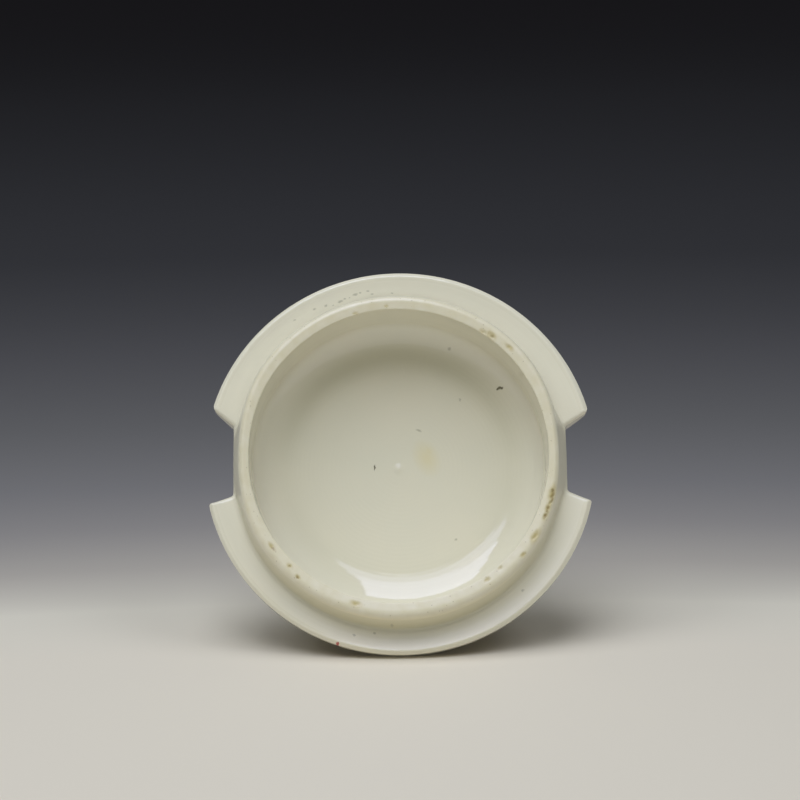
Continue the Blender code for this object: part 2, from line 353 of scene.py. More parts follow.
def turned_clay_tree():
    """A node group that turns the guide's section points about Z through its direction points."""
    tree = bpy.data.node_groups.new("turned_clay", "GeometryNodeTree")
    tree.interface.new_socket("Geometry", in_out="OUTPUT", socket_type="NodeSocketGeometry")
    tree.interface.new_socket("Guide", in_out="INPUT", socket_type="NodeSocketGeometry")
    tree.interface.new_socket("Join Distance", in_out="INPUT", socket_type="NodeSocketFloat")
    tree.interface.new_socket("Clay", in_out="INPUT", socket_type="NodeSocketMaterial")
    given = add(tree, "NodeGroupInput")
    flag = add(tree, "GeometryNodeInputNamedAttribute", {"Name": "is_direction"}, data_type="BOOLEAN")
    parts = add(tree, "GeometryNodeSeparateGeometry",
                {"Geometry": given.outputs["Guide"], "Selection": flag.outputs["Attribute"]})
    rows = add(tree, "GeometryNodeAttributeDomainSize", {"Geometry": parts.outputs["Inverted"]})
    columns = add(tree, "GeometryNodeAttributeDomainSize", {"Geometry": parts.outputs["Selection"]})
    around = add(tree, "FunctionNodeIntegerMath", {0: columns.outputs["Point Count"], 1: 1})
    grid = add(tree, "GeometryNodeMeshGrid", {"Vertices X": rows.outputs["Point Count"],
                                              "Vertices Y": around.outputs[0]})
    index = add(tree, "GeometryNodeInputIndex")
    row = add(tree, "FunctionNodeIntegerMath",
              {0: index.outputs[0], 1: around.outputs[0]}, operation="DIVIDE_FLOOR")
    step = add(tree, "FunctionNodeIntegerMath",
               {0: index.outputs[0], 1: around.outputs[0]}, operation="MODULO")
    column = add(tree, "FunctionNodeIntegerMath",
                 {0: step.outputs[0], 1: columns.outputs["Point Count"]}, operation="MODULO")
    place = add(tree, "GeometryNodeInputPosition")
    section = add(tree, "GeometryNodeSampleIndex",
                  {"Geometry": parts.outputs["Inverted"], "Value": place.outputs[0],
                   "Index": row.outputs[0]}, data_type="FLOAT_VECTOR")
    heading = add(tree, "GeometryNodeSampleIndex",
                  {"Geometry": parts.outputs["Selection"], "Value": place.outputs[0],
                   "Index": column.outputs[0]}, data_type="FLOAT_VECTOR")
    measures = add(tree, "ShaderNodeSeparateXYZ", {0: section.outputs["Value"]})
    spoke = add(tree, "ShaderNodeVectorMath",
                {0: heading.outputs["Value"], "Scale": measures.outputs["X"]}, operation="SCALE")
    rise = add(tree, "ShaderNodeCombineXYZ", {"Z": measures.outputs["Z"]})
    spot = add(tree, "ShaderNodeVectorMath", {0: spoke.outputs[0], 1: rise.outputs[0]})
    turned = add(tree, "GeometryNodeSetPosition",
                 {"Geometry": grid.outputs["Mesh"], "Position": spot.outputs[0]})
    with_row = add(tree, "GeometryNodeStoreNamedAttribute",
                   {"Geometry": turned.outputs[0], "Name": "row", "Value": row.outputs[0]},
                   data_type="INT")
    with_column = add(tree, "GeometryNodeStoreNamedAttribute",
                      {"Geometry": with_row.outputs[0], "Name": "column", "Value": column.outputs[0]},
                      data_type="INT")
    joined = add(tree, "GeometryNodeMergeByDistance",
                 {"Geometry": with_column.outputs[0], "Distance": given.outputs["Join Distance"]})
    smooth = add(tree, "GeometryNodeSetShadeSmooth", {"Geometry": joined.outputs[0]})
    real = add(tree, "GeometryNodeRealizeInstances", {"Geometry": smooth.outputs[0]})
    clad = add(tree, "GeometryNodeSetMaterial",
               {"Geometry": real.outputs[0], "Material": given.outputs["Clay"]})
    add(tree, "NodeGroupOutput", {"Geometry": clad.outputs[0]})
    return tree


turned_clay = turned_clay_tree()
print("tree %s: %d nodes" % (turned_clay.name, len(turned_clay.nodes)))


# %% Turn a section into a plain mesh
def turn_piece(name, section, headings, material):
    """A mesh turned by the tree, in millimetres in the cover's own frame, with its row and column."""
    count = len(section)
    guide = bpy.data.meshes.new(name)
    spots = [(radius, 0.0, height) for radius, height in section]
    spots += [(x, y, 0.0) for x, y in headings]
    guide.from_pydata(spots, [], [])
    flags = guide.attributes.new("is_direction", "BOOLEAN", "POINT")
    flags.data.foreach_set("value", [index >= count for index in range(len(spots))])
    piece = bpy.data.objects.new(name, guide)
    bpy.context.scene.collection.objects.link(piece)
    modifier = piece.modifiers.new("turn", "NODES")
    modifier.node_group = turned_clay
    values = {"Join Distance": JOIN_DISTANCE, "Clay": material}
    for socket in turned_clay.interface.items_tree:
        if socket.in_out == "INPUT" and socket.name in values:
            modifier[socket.identifier] = values[socket.name]
    evaluated = piece.evaluated_get(bpy.context.evaluated_depsgraph_get())
    mesh = bpy.data.meshes.new_from_object(evaluated)
    mesh.materials.clear()
    mesh.materials.append(material)
    mesh.polygons.foreach_set("material_index", [0] * len(mesh.polygons))
    piece.modifiers.remove(modifier)
    piece.data = mesh
    bpy.data.meshes.remove(guide)
    mesh.name = name
    return piece


def read(mesh, attribute):
    """A whole number that the tree kept for each point of a mesh, as an array."""
    values = np.empty(len(mesh.vertices), np.int64)
    mesh.attributes[attribute].data.foreach_get("value", values)
    return values


glaze = bpy.data.materials.new("porcelain_thrown_and_glazed")
cover = turn_piece("porcelain_cover", cover_section, directions, glaze)
row = read(cover.data, "row")
column = read(cover.data, "column")
print("turned cover: %d vertices, %d faces" % (len(cover.data.vertices), len(cover.data.polygons)))

# %% [markdown]
# ## Cutting the notches
#
# A Boolean would leave a hard, ragged edge, and glaze rounds every edge it runs over. So the
# rows outside the lip are drawn in to the notched outline instead, column by column. Heights are
# then read from the same section, less a drop that depends only on the distance to the outline: a
# bevel at the turned rim, and a quarter round where the notches were sponged smooth.

# %% Distances to the cut and the round at its edge
def wall_distance(points):
    """Distance of each point from the nearest notch wall, seen along the axis."""
    nearest = np.full(len(points), np.inf)
    for wall in notch_walls:
        for first, second in zip(wall[:-1], wall[1:]):
            step = second - first
            share = np.clip((points - first) @ step / (step @ step), 0.0, 1.0)
            gap = points - first - share[:, None] * step
            nearest = np.minimum(nearest, np.hypot(gap[:, 0], gap[:, 1]))
    return nearest


NOTCH_ROUND = 1.3
LEAST_FACING = 0.28
LEAST_WALL = 0.5
BEVEL_WIDTH = 1.05
BEVEL_SOFT = 0.25
SAME_PLACE = 0.001


def rounding(distance, radius):
    """How far a quarter round lies below the square edge at a distance from it."""
    inset = radius - np.clip(distance, 0.0, radius)
    return radius - np.sqrt(radius ** 2 - inset ** 2)


def bevel(distance):
    """How far the rim's bevel, with its soft inner edge, lies below the flange near the rim."""
    inset = BEVEL_WIDTH - distance
    return BEVEL_HEIGHT / BEVEL_WIDTH * (inset + np.sqrt(inset ** 2 + BEVEL_SOFT ** 2)) / 2.0


tangent = np.roll(outline, -1, 0) - np.roll(outline, 1, 0)
tangent /= np.hypot(tangent[:, 0], tangent[:, 1])[:, None]
facing = np.abs(tangent[:, 0] * directions[:, 1] - tangent[:, 1] * directions[:, 0])
is_rim = reach > RIM_RADIUS - SAME_PLACE
extent = np.where(is_rim, EDGE_REACH, NOTCH_ROUND / np.clip(facing, LEAST_FACING, 1.0))
extent = np.minimum(extent, reach - LIP_END[0] - LEAST_WALL)
print("the round takes %.2f to %.2f mm of a column" % (extent.min(), extent.max()))

# %% Draw the rows in to the outline
radius = cover_section[row, 0].copy()
height = cover_section[row, 1].copy()
edge = reach[column]
is_top = (row >= TOP_START) & (row < EDGE_START)
is_edge = (row >= EDGE_START) & (row < BAND_START)
is_band = (row >= BAND_START) & (row < DOME_START)
is_dome = row >= DOME_START
squeeze = (edge - extent[column] - LIP_END[0]) / (RIM_RADIUS - EDGE_REACH - LIP_END[0])
radius[is_top] = (LIP_END[0] + (radius - LIP_END[0]) * squeeze)[is_top]
radius[is_edge] = (edge - (RIM_RADIUS - radius) * extent[column] / EDGE_REACH)[is_edge]
radius[is_band] = edge[is_band]
radius[is_dome] = (radius * edge / RIM_RADIUS)[is_dome]
plan = radius[:, None] * directions[column]
to_notch = wall_distance(plan)
print("columns reach from %.2f to %.2f mm" % (edge.min(), edge.max()))

# %% Read the heights from the section, less the drop at the edges
FINE_FOOT_STEPS = 80
FLANGE_DISH = 1.6
STEEP_HEIGHT = 4.0
COLLAR_CUT_ROUND = 0.6
fine_top = np.array([lip_section[-1]] + top_section(FINE_FOOT_STEPS) + [(RIM_RADIUS, 0.0)])
flange_start = top_rows[-len(flange_rows) - 1][0]


def top_height(at_radius):
    """Height of the collar's outside, its foot and the flange, which dishes up a little to the rim."""
    across_flange = np.clip((at_radius - flange_start) / (RIM_RADIUS - flange_start), 0.0, 1.0)
    return np.interp(at_radius, fine_top[:, 0], fine_top[:, 1]) + FLANGE_DISH * across_flange ** 2


steep = np.clip(top_height(radius) / STEEP_HEIGHT, 0.0, 1.0) * (row <= BAND_START)
cut_round = NOTCH_ROUND + (COLLAR_CUT_ROUND - NOTCH_ROUND) * steep
notch_drop = rounding(to_notch, cut_round)
edge_drop = np.maximum(notch_drop, bevel(RIM_RADIUS - radius))
on_top = is_top | is_edge
height[on_top] = (top_height(radius) - edge_drop)[on_top]
height[is_dome] = (dome_height(radius) + notch_drop)[is_dome]
band_top = top_height(edge) - np.where(is_rim[column], bevel(0.0), cut_round)
band_foot = dome_height(edge) + notch_drop
band_share = (cover_section[row, 1] + BEVEL_HEIGHT) / (BEVEL_HEIGHT - RIM_HEIGHT)
height[is_band] = (band_top + (band_foot - band_top) * band_share)[is_band]
print("notch wall from %.2f to %.2f mm" % (band_top[is_band].max(), band_foot[is_band].min()))

# %% [markdown]
# ## The hand of the potter, and wear
#
# A thrown and trimmed piece is never quite true. Here the hollow, the lip and the foot of the
# collar are each a little off the rim's centre, the collar was sponged thinner above the notches,
# and the lip waves by a tenth of a millimetre. The lip is also where the cover was knocked, so
# small flakes are missing from it. A bump in the material could only hint at this. It is moved
# into the mesh instead, because it shows in the outline and in the glaze's reflections.

# %% Wave the lip and move the collar off the rim's centre
HOLLOW_OFFSET = np.array((-0.45, 0.20))
LIP_OFFSET = np.array((-0.45, 0.0))
FOOT_OFFSET = np.array((-0.40, -1.10))
FREE_REACH = 8.0
NOTCH_THINNING = 1.6
THINNED_ANGLE = math.radians(23.0)
LIP_WAVE = 0.12
LIP_ZONE = 3.0
# Each wave: its share of the whole, how often it comes round the lip, and its start in radians
LIP_WAVES = ((0.6, 3.0, 0.8), (0.4, 7.0, 2.1))

angle = np.arctan2(plan[:, 1], plan[:, 0])
near_lip = np.exp(-((height - COLLAR_HEIGHT) / LIP_ZONE) ** 2)
near_lip[is_dome | is_band] = 0.0
wave = sum(share * np.sin(often * angle + start) for share, often, start in LIP_WAVES)
radius += near_lip * LIP_WAVE * wave
# Clay is free to move away from the notches and the rim, which keep their place
free = np.clip(np.minimum(to_notch, RIM_RADIUS - radius) / FREE_REACH, 0.0, 1.0) * on_top
up_wall = np.where(row < TOP_START, 1.0, np.clip(height / LIP_END[1], 0.0, 1.0) * on_top)
across_lip = np.clip((radius - MOUTH_RADIUS) / LIP_WIDTH, 0.0, 1.0)
from_notch = np.arcsin(np.abs(np.sin(angle)))
thinned = NOTCH_THINNING * np.exp(-(from_notch / THINNED_ANGLE) ** 2) * across_lip
thinned *= np.maximum(up_wall, free)
plan = (radius - thinned)[:, None] * directions[column]
plan += up_wall[:, None] * (HOLLOW_OFFSET + (LIP_OFFSET - HOLLOW_OFFSET) * across_lip[:, None])
plan += ((1.0 - up_wall) * free)[:, None] * FOOT_OFFSET
print("collar thinned by up to %.2f mm, lip waves by up to %.2f mm"
      % (thinned.max(), np.abs(near_lip * LIP_WAVE * wave).max()))

# %% Chip the lip
CHIP_DEPTH = 0.35
CHIP_REACH = 1.2
CHIP_RAGGED = 0.3
CHIP_ZONE = 0.6
# Each wave of a ragged edge: radians per millimetre along X and along Y, and its start in radians
RAGGED_WAVES = ((3.1, 1.7, 0.0), (-2.3, 4.1, 1.3))
# Each chip: radius, angle in degrees anticlockwise from the right, length round the lip, and
# width across it
LIP_CHIPS = (
    (47.6, 343.8, 4.2, 1.6), (47.8, 340.3, 2.0, 1.0), (47.6, 338.2, 2.2, 1.2), (47.7, 335.2, 2.0, 1.0),
    (47.9, 327.0, 3.2, 1.4), (48.2, 319.0, 1.4, 0.8), (46.1, 309.5, 1.2, 0.7), (46.7, 303.0, 1.4, 0.7),
    (47.9, 215.8, 2.2, 0.9), (47.7, 225.5, 1.4, 0.8), (48.6, 230.3, 1.2, 0.8), (47.8, 253.3, 2.4, 1.2),
    (46.6, 52.2, 2.4, 1.5), (46.2, 55.5, 1.8, 0.9), (47.4, 44.0, 2.0, 0.9), (46.5, 106.4, 1.2, 0.7),
    (47.0, 94.3, 0.9, 0.6),
)

ragged = sum(np.sin(plan @ (along_x, along_y) + start) for along_x, along_y, start in RAGGED_WAVES)
chipped = np.zeros(len(radius))
for chip_radius, chip_angle, length, width in LIP_CHIPS:
    turn = math.radians(chip_angle)
    outward = plan @ (math.cos(turn), math.sin(turn)) - chip_radius
    sideways = plan @ (-math.sin(turn), math.cos(turn))
    spread = (sideways / (length / 2.0)) ** 2 + (outward / (width / 2.0)) ** 2
    flake = np.clip(CHIP_REACH - spread + CHIP_RAGGED * ragged, 0.0, 1.0)
    chipped = np.maximum(chipped, flake * (near_lip > CHIP_ZONE))
height -= CHIP_DEPTH * chipped
print("%d chips touch %d vertices" % (len(LIP_CHIPS), int((chipped > 0.0).sum())))

# %% Put the mesh in place
spots = np.column_stack((plan, height)) * MM
cover.data.vertices.foreach_set("co", spots.ravel())
cover.data.transform(lean)
cover.data.update()
faces = len(cover.data.polygons)
print("cover: %d faces, corner to corner %s" % (faces, [round(v, 4) for v in cover.dimensions]))

# %% [markdown]
# ## What the glaze needs to know
#
# Molten glaze is thin on edges and gathers in hollows, where it looks darker and greener. The same
# dark colour is also painted as shade: in the crease at the collar's foot on the low side, in the
# hollow's corner on the high side and over the hollow's floor. A darker, yellower painted shade
# also lies on the collar's outside towards the low side. The lip was wiped bare so that it wouldn't
# stick in the kiln, and the seat and the collar have a duller glaze than the hollow. A material
# can't tell where such places are, but the section can, so a number for each is kept on every
# point of the mesh.

# %% Keep a number for each place
WALL_FADE = 2.0
WIPED_DEPTH = 1.8
WIPED_FADE = 1.2
RIM_SATIN = 0.3
# Painted shade: the collar's outside gets darker and yellower towards the low side, where it faces down
LOW_WALL_SHADE_STRENGTH = 0.5
# Glaze pooled at the collar's foot all round, with painted shade added there on the low side
FOOT_POOL = 0.12
FOOT_SHADE_LOW_SIDE = 0.36
FOOT_RING_SHIFT = 0.2
FOOT_RING_WIDTH = 0.8
KNOB_POOL = 0.25
KNOB_POOL_WIDTH = 2.0
# Glaze pooled in the hollow's corner all round, with painted shade added on the high side, under the
# upper wall
CORNER_POOL = 0.03
CORNER_SHADE_HIGH_SIDE = 0.32
CORNER_RING_INSET = 8.6
CORNER_RING_WIDTH = 4.8
# Painted shade over the hollow's floor
FLOOR_SHADE = 0.10
FLOOR_SHADE_INSET = 4.0
FLOOR_SHADE_FADE = 6.0


def soft_ring(middle, width):
    """1 at one radius of the cover, fading away on both sides of it."""
    return np.exp(-((radius - middle) / width) ** 2)


def keep(mesh, name, values):
    """Stores one number for each point of a mesh, for a material to read."""
    attribute = mesh.attributes.new(name, "FLOAT", "POINT")
    attribute.data.foreach_set("value", np.asarray(values, np.float32))


is_inside = row < INSIDE_END
outside = ~is_inside & (row < BAND_START)
low_side = np.clip(-np.sin(angle), 0.0, 1.0) ** 2
high_side = np.clip(np.sin(angle), 0.0, 1.0)
on_wall = np.clip(height / WALL_FADE, 0.0, 1.0) * outside
wiped = np.clip((height - COLLAR_HEIGHT + WIPED_DEPTH) / WIPED_FADE, 0.0, 1.0) * outside
at_foot = soft_ring(root[0] + FOOT_RING_SHIFT, FOOT_RING_WIDTH) * on_top
# Pooled glaze at the foot, and painted shade there on the low side
foot_pool_and_shade = (FOOT_POOL + FOOT_SHADE_LOW_SIDE * low_side) * at_foot
knob_pool = KNOB_POOL * soft_ring(KNOB_RADIUS, KNOB_POOL_WIDTH) * is_dome
in_corner = soft_ring(MOUTH_RADIUS - CORNER_RING_INSET, CORNER_RING_WIDTH) * is_inside
# Pooled glaze in the corner, and painted shade there on the high side
corner_pool_and_shade = (CORNER_POOL + CORNER_SHADE_HIGH_SIDE * high_side) * in_corner
# Painted shade over the hollow's floor
on_floor = np.clip((MOUTH_RADIUS - FLOOR_SHADE_INSET - radius) / FLOOR_SHADE_FADE, 0.0, 1.0) * is_inside
# Pooled glaze, and painted shade at the foot, in the hollow's corner and over its floor
pooled_and_shade = foot_pool_and_shade + corner_pool_and_shade + FLOOR_SHADE * on_floor + knob_pool
keep(cover.data, "wiped", wiped)
keep(cover.data, "satin", outside * np.where(is_edge & is_rim[column], RIM_SATIN, 1.0))
# Painted shade on the collar's outside, towards the low side
keep(cover.data, "low_wall_shade", LOW_WALL_SHADE_STRENGTH * low_side * on_wall)
keep(cover.data, "pooled_and_shade", pooled_and_shade)
keep(cover.data, "turned", (1.0 - on_wall) * (row < BAND_START))
keep(cover.data, "open_side", row < DOME_START)
for name in ("row", "column"):
    cover.data.attributes.remove(cover.data.attributes[name])
print("glaze pools up to %.2f, and %d points are wiped" % (pooled_and_shade.max(), int((wiped > 0.0).sum())))

# %% [markdown]
# ## The knob
#
# The knob is turned as a separate lump and luted to the crown with slip. The same tree turns it.
# Its foot spreads over the dome, as the slip fillet does on the real joint, and its underside
# stays inside the clay of the dome, so no gap shows. The outside can't be seen in the photograph,
# so this is the plainest knob that a potter would turn.

# %% Turn the knob
KNOB_BURIED = 0.6
KNOB_TUCK = 0.4
KNOB_BURIED_POINTS = 6
KNOB_FOOT = 9.6
KNOB_FOOT_LIFT = 0.15
KNOB_FOOT_BLEND = 5.44
KNOB_WAIST = 6.5
KNOB_WAIST_POINTS = 16
KNOB_HEAD = 8.0
KNOB_HEAD_POINTS = 26
KNOB_COLUMNS = 160


def knob_section():
    """From the middle of the buried foot, out over the fillet, up the waist and round the head."""
    head_middle = -KNOB_DEPTH + KNOB_HEAD / 2.0
    waist_turn = math.acos(KNOB_WAIST / KNOB_RADIUS)
    throat = head_middle + KNOB_HEAD / 2.0 * math.sin(waist_turn)
    start = float(dome_height(KNOB_FOOT)) + KNOB_FOOT_LIFT
    buried_radii = np.linspace(0.0, KNOB_FOOT - KNOB_TUCK, KNOB_BURIED_POINTS)
    points = [(radius, -CROWN_DEPTH + KNOB_BURIED) for radius in buried_radii]
    for share in np.linspace(0.0, 1.0, KNOB_WAIST_POINTS):
        flare = (KNOB_FOOT - KNOB_WAIST) * math.exp(-share * KNOB_FOOT_BLEND)
        points.append((KNOB_WAIST + flare, start + (throat - start) * share))
    for a in np.linspace(waist_turn, -math.pi / 2, KNOB_HEAD_POINTS)[1:]:
        points.append((KNOB_RADIUS * math.cos(a), head_middle + KNOB_HEAD / 2.0 * math.sin(a)))
    points[-1] = (0.0, -KNOB_DEPTH)
    return points


turns = np.linspace(0.0, 2.0 * math.pi, KNOB_COLUMNS, endpoint=False)
knob_directions = np.stack((np.cos(turns), np.sin(turns)), 1)
knob = turn_piece("porcelain_knob", knob_section(), knob_directions, glaze)
for name in ("row", "column"):
    knob.data.attributes.remove(knob.data.attributes[name])
knob.data.transform(Matrix.Scale(MM, 4))
knob.data.transform(lean)
print("knob: %d faces" % len(knob.data.polygons))


# %% Check that the faces point outwards
CUBIC_CENTIMETRE = 1e-6
TETRAHEDRA_IN_BOX = 6.0


def volume(mesh):
    """Signed volume in cubic centimetres, positive where the faces point outwards."""
    mesh.calc_loop_triangles()
    corners = np.empty(len(mesh.loop_triangles) * 3, np.int64)
    mesh.loop_triangles.foreach_get("vertices", corners)
    flat = np.empty(len(mesh.vertices) * 3)
    mesh.vertices.foreach_get("co", flat)
    a, b, c = flat.reshape(-1, 3)[corners.reshape(-1, 3)].transpose(1, 0, 2)
    return float((np.cross(a, b) * c).sum()) / TETRAHEDRA_IN_BOX / CUBIC_CENTIMETRE


for piece in (cover, knob):
    if volume(piece.data) < 0.0:
        piece.data.flip_normals()
    print("%s: %.1f cubic centimetres" % (piece.name, volume(piece.data)))

# %% [markdown]
# ## The glaze
#
# Porcelain is white clay under a clear glaze, and here the glaze is a little green and cream. It
# is smooth enough to mirror the lamp, waves a little, pools in the corners, where painted shade is
# added too, and is wiped off the lip, where the bare clay is warmer and dull. A picture could hold
# all of that, but nodes stay sharp at any distance. Object coordinates are turned into the cover's
# own millimetres first, so that every pattern below has a real size.

# %% Colours and coordinates of the glaze
# The eye gets a wet, creamy white with a touch of green, a cool and sharp mirror image of the
# lamp in the hollow, a softer shine on the flange, and a dull, warm lip.
GLAZE = "#E5DEC5"
GLAZE_GREEN = "#DDDAC3"
# Painted shade on the low side of the collar's outside
LOW_WALL_SHADE = "#D6CBA4"
# Dark olive for pooled glaze, and for painted shade in the foot's crease, the hollow's corner and its
# floor
POOLED_AND_SHADE = "#8F8A60"
BARE_CLAY = "#E2DCC4"
BARE_CLAY_SOILED = "#D4CBA6"
MIRROR_TINT = "#E2E2FF"
GLAZE_IOR = 1.53


def colour(text):
    """An sRGB hex colour as linear red, green, blue and alpha."""
    parts = [int(text[at:at + 2], 16) / 255.0 for at in (1, 3, 5)]
    return (*[p / 12.92 if p <= 0.04045 else ((p + 0.055) / 1.055) ** 2.4 for p in parts], 1.0)


glaze.use_nodes = True
paint = glaze.node_tree
shader = paint.nodes["Principled BSDF"]
shader.inputs["IOR"].default_value = GLAZE_IOR
shader.inputs["Specular Tint"].default_value = colour(MIRROR_TINT)
place = add(paint, "ShaderNodeTexCoord")
to_own = lean.inverted()
own = add(paint, "ShaderNodeMapping", {
    "Vector": place.outputs["Object"], "Location": to_own.translation / MM,
    "Rotation": to_own.to_euler(), "Scale": (1.0 / MM,) * 3})
print("glaze reads the cover's own millimetres")

# %% Tint, painted shade, pooled glaze, and the wiped lip
# Sockets 6 and 7 of a Mix node take its two colours, and output 2 gives the mixed one
TINT_SIZE = 26.0
MOTTLE_SIZE = 3.0
drift = add(paint, "ShaderNodeTexNoise", {"Vector": own, "Scale": 1.0 / TINT_SIZE, "Detail": 2.0})
mottle = add(paint, "ShaderNodeTexNoise", {"Vector": own, "Scale": 1.0 / MOTTLE_SIZE, "Detail": 3.0})
kept = {}
for name in ("low_wall_shade", "pooled_and_shade", "wiped", "satin", "turned", "open_side"):
    kept[name] = add(paint, "ShaderNodeAttribute", attribute_name=name).outputs["Fac"]
tint = add(paint, "ShaderNodeMix",
           {"Factor": drift, 6: colour(GLAZE), 7: colour(GLAZE_GREEN)}, data_type="RGBA")
# Painted shade on the low side of the collar's outside
low_wall_shaded = add(paint, "ShaderNodeMix",
             {"Factor": kept["low_wall_shade"], 6: tint, 7: colour(LOW_WALL_SHADE)}, data_type="RGBA")
# Pooled glaze, and painted shade in the crease, the corner and the hollow's floor
pooled_and_shaded = add(paint, "ShaderNodeMix",
           {"Factor": kept["pooled_and_shade"], 6: low_wall_shaded, 7: colour(POOLED_AND_SHADE)}, data_type="RGBA")
bare = add(paint, "ShaderNodeMix",
           {"Factor": mottle, 6: colour(BARE_CLAY), 7: colour(BARE_CLAY_SOILED)}, data_type="RGBA")
body = add(paint, "ShaderNodeMix", {"Factor": kept["wiped"], 6: pooled_and_shaded, 7: bare}, data_type="RGBA")
print("glaze body: %d nodes" % len(paint.nodes))

# %% [markdown]
# ## Marks of use
#
# Old tableware carries stains, pits and specks, and each has a place of its own. A mark is an
# ellipse on the open side: a Mapping node of the texture kind moves a mark's middle to zero and
# stretches it to a unit circle, so the length of the result is below 1 inside the mark. A little
# noise is added to the coordinates first, so that no edge is a clean ellipse. Marks of one kind
# share one result, the smallest length of all.

# %% Coordinates with ragged edges
RAGGED = 0.85
RAGGED_SIZE = 0.9
ragged_noise = add(paint, "ShaderNodeTexNoise",
                   {"Vector": own, "Scale": 1.0 / RAGGED_SIZE, "Detail": 2.0})
from_middle = add(paint, "ShaderNodeVectorMath",
                  {0: ragged_noise.outputs["Color"], 1: (0.5, 0.5, 0.5)}, operation="SUBTRACT")
push = add(paint, "ShaderNodeVectorMath", {0: from_middle, "Scale": RAGGED}, operation="SCALE")
ragged_own = add(paint, "ShaderNodeVectorMath", {0: own, 1: push})
print("marks are pushed up to %.2f mm" % (RAGGED / 2.0))

# %% Where the marks are
# Each mark: radius, angle in degrees anticlockwise from the right, length round the axis, and
# width across it
STAINS = ((9.0, 23.3, 9.0, 6.0), (10.6, 32.0, 4.0, 3.0))
FAINT_SPECKS = (
    (41.3, 67.0, 0.8, 0.8), (29.2, 49.0, 0.7, 0.7), (13.8, 64.5, 1.6, 0.5), (28.3, 306.8, 0.8, 0.6),
    (55.8, 255.0, 0.9, 0.6), (54.9, 311.5, 0.7, 0.6), (51.6, 266.5, 0.8, 0.5), (54.0, 261.0, 0.7, 0.6),
)
FLANGE_PITS = (
    (54.1, 109.3, 1.5, 0.6), (54.4, 107.6, 0.8, 0.4), (54.9, 103.9, 1.4, 0.6), (55.0, 102.2, 0.6, 0.4),
    (55.1, 99.7, 0.8, 0.5), (54.0, 98.4, 0.9, 0.4), (53.5, 91.8, 0.7, 0.4), (54.6, 114.2, 0.8, 0.5),
    (55.2, 118.1, 0.9, 0.5), (55.4, 125.4, 0.7, 0.4), (53.8, 112.0, 0.5, 0.3), (54.3, 106.0, 0.5, 0.3),
)
CHIP_HEARTS = (
    (47.9, 343.2, 2.6, 0.8), (47.5, 345.0, 1.0, 0.7), (48.0, 341.6, 1.4, 0.6), (47.6, 338.5, 0.9, 0.8),
    (47.7, 337.2, 0.8, 0.6), (47.8, 335.2, 1.5, 0.7), (46.7, 51.8, 1.0, 0.7), (47.9, 216.8, 1.2, 0.6),
    (48.7, 230.3, 0.8, 0.7), (47.7, 225.5, 0.6, 0.5),
)
PITS = (
    (8.0, 175.0, 1.6, 0.45), (39.7, 38.7, 0.7, 0.9), (40.3, 38.3, 0.8, 1.1), (40.8, 37.7, 0.7, 0.9),
)
ENAMEL_DOTS = ((59.7, 250.9, 0.9, 0.8),)
marks = STAINS + FAINT_SPECKS + FLANGE_PITS + PITS + ENAMEL_DOTS
print("%d marks beside the chips" % len(marks))

# %% Lay the marks over the body, one kind after the other
# Along the axis a mark is this long, so that it reaches every height
THROUGH = 1000.0
# Each kind: its marks, its colour, the length at its faint edge and at its full heart, its
# strength, and where it shows
KINDS = (
    (STAINS, "#D9CC98", 1.5, 0.2, 0.5, "open_side"),
    (FAINT_SPECKS + FLANGE_PITS, "#8F8B70", 1.5, 0.6, 0.5, "open_side"),
    (LIP_CHIPS, "#B7A55C", 2.1, 0.4, 0.7, "wiped"),
    (CHIP_HEARTS, "#766024", 1.7, 0.4, 0.7, "wiped"),
    (PITS, "#484220", 1.4, 0.7, 0.85, "open_side"),
    (ENAMEL_DOTS, "#B0382C", 1.3, 0.8, 0.9, "open_side"),
)
for table, text, faint_edge, full_heart, strength, where in KINDS:
    nearest = THROUGH
    for mark_radius, mark_angle, length, width in table:
        turn = math.radians(mark_angle)
        local = add(paint, "ShaderNodeMapping", {
            "Vector": ragged_own, "Rotation": (0.0, 0.0, turn),
            "Location": (mark_radius * math.cos(turn), mark_radius * math.sin(turn), 0.0),
            "Scale": (width / 2.0, length / 2.0, THROUGH)}, vector_type="TEXTURE")
        away = add(paint, "ShaderNodeVectorMath", {0: local}, operation="LENGTH")
        nearest = add(paint, "ShaderNodeMath", {0: away, 1: nearest}, operation="MINIMUM")
    inside = add(paint, "ShaderNodeMapRange", {
        "Value": nearest, "From Min": faint_edge, "From Max": full_heart, "To Max": strength})
    shown = add(paint, "ShaderNodeMath", {0: inside, 1: kept[where]}, operation="MULTIPLY")
    body = add(paint, "ShaderNodeMix", {"Factor": shown, 6: body, 7: colour(text)}, data_type="RGBA")
print("glaze with marks: %d nodes" % len(paint.nodes))

# %% Fine brown specks where the bare clay took up dirt
SPECK_SPACING = 1.1
SPECK_SIZE = 0.16
SPECK_SHARE = 0.72
SPECK_STRENGTH = 0.45
SPECK_COLOUR = "#8C7A4A"
cells = add(paint, "ShaderNodeTexVoronoi", {"Vector": own, "Scale": 1.0 / SPECK_SPACING})
small = add(paint, "ShaderNodeMath",
            {0: cells.outputs["Distance"], 1: SPECK_SIZE}, operation="LESS_THAN")
lot = add(paint, "ShaderNodeSeparateColor", {0: cells.outputs["Color"]})
drawn = add(paint, "ShaderNodeMath", {0: lot, 1: SPECK_SHARE}, operation="GREATER_THAN")
both = add(paint, "ShaderNodeMath", {0: small, 1: drawn}, operation="MULTIPLY")
on_lip = add(paint, "ShaderNodeMath", {0: both, 1: kept["wiped"]}, operation="MULTIPLY")
share = add(paint, "ShaderNodeMath", {0: on_lip, 1: SPECK_STRENGTH}, operation="MULTIPLY")
finished = add(paint, "ShaderNodeMix",
               {"Factor": share, 6: body, 7: colour(SPECK_COLOUR)}, data_type="RGBA")
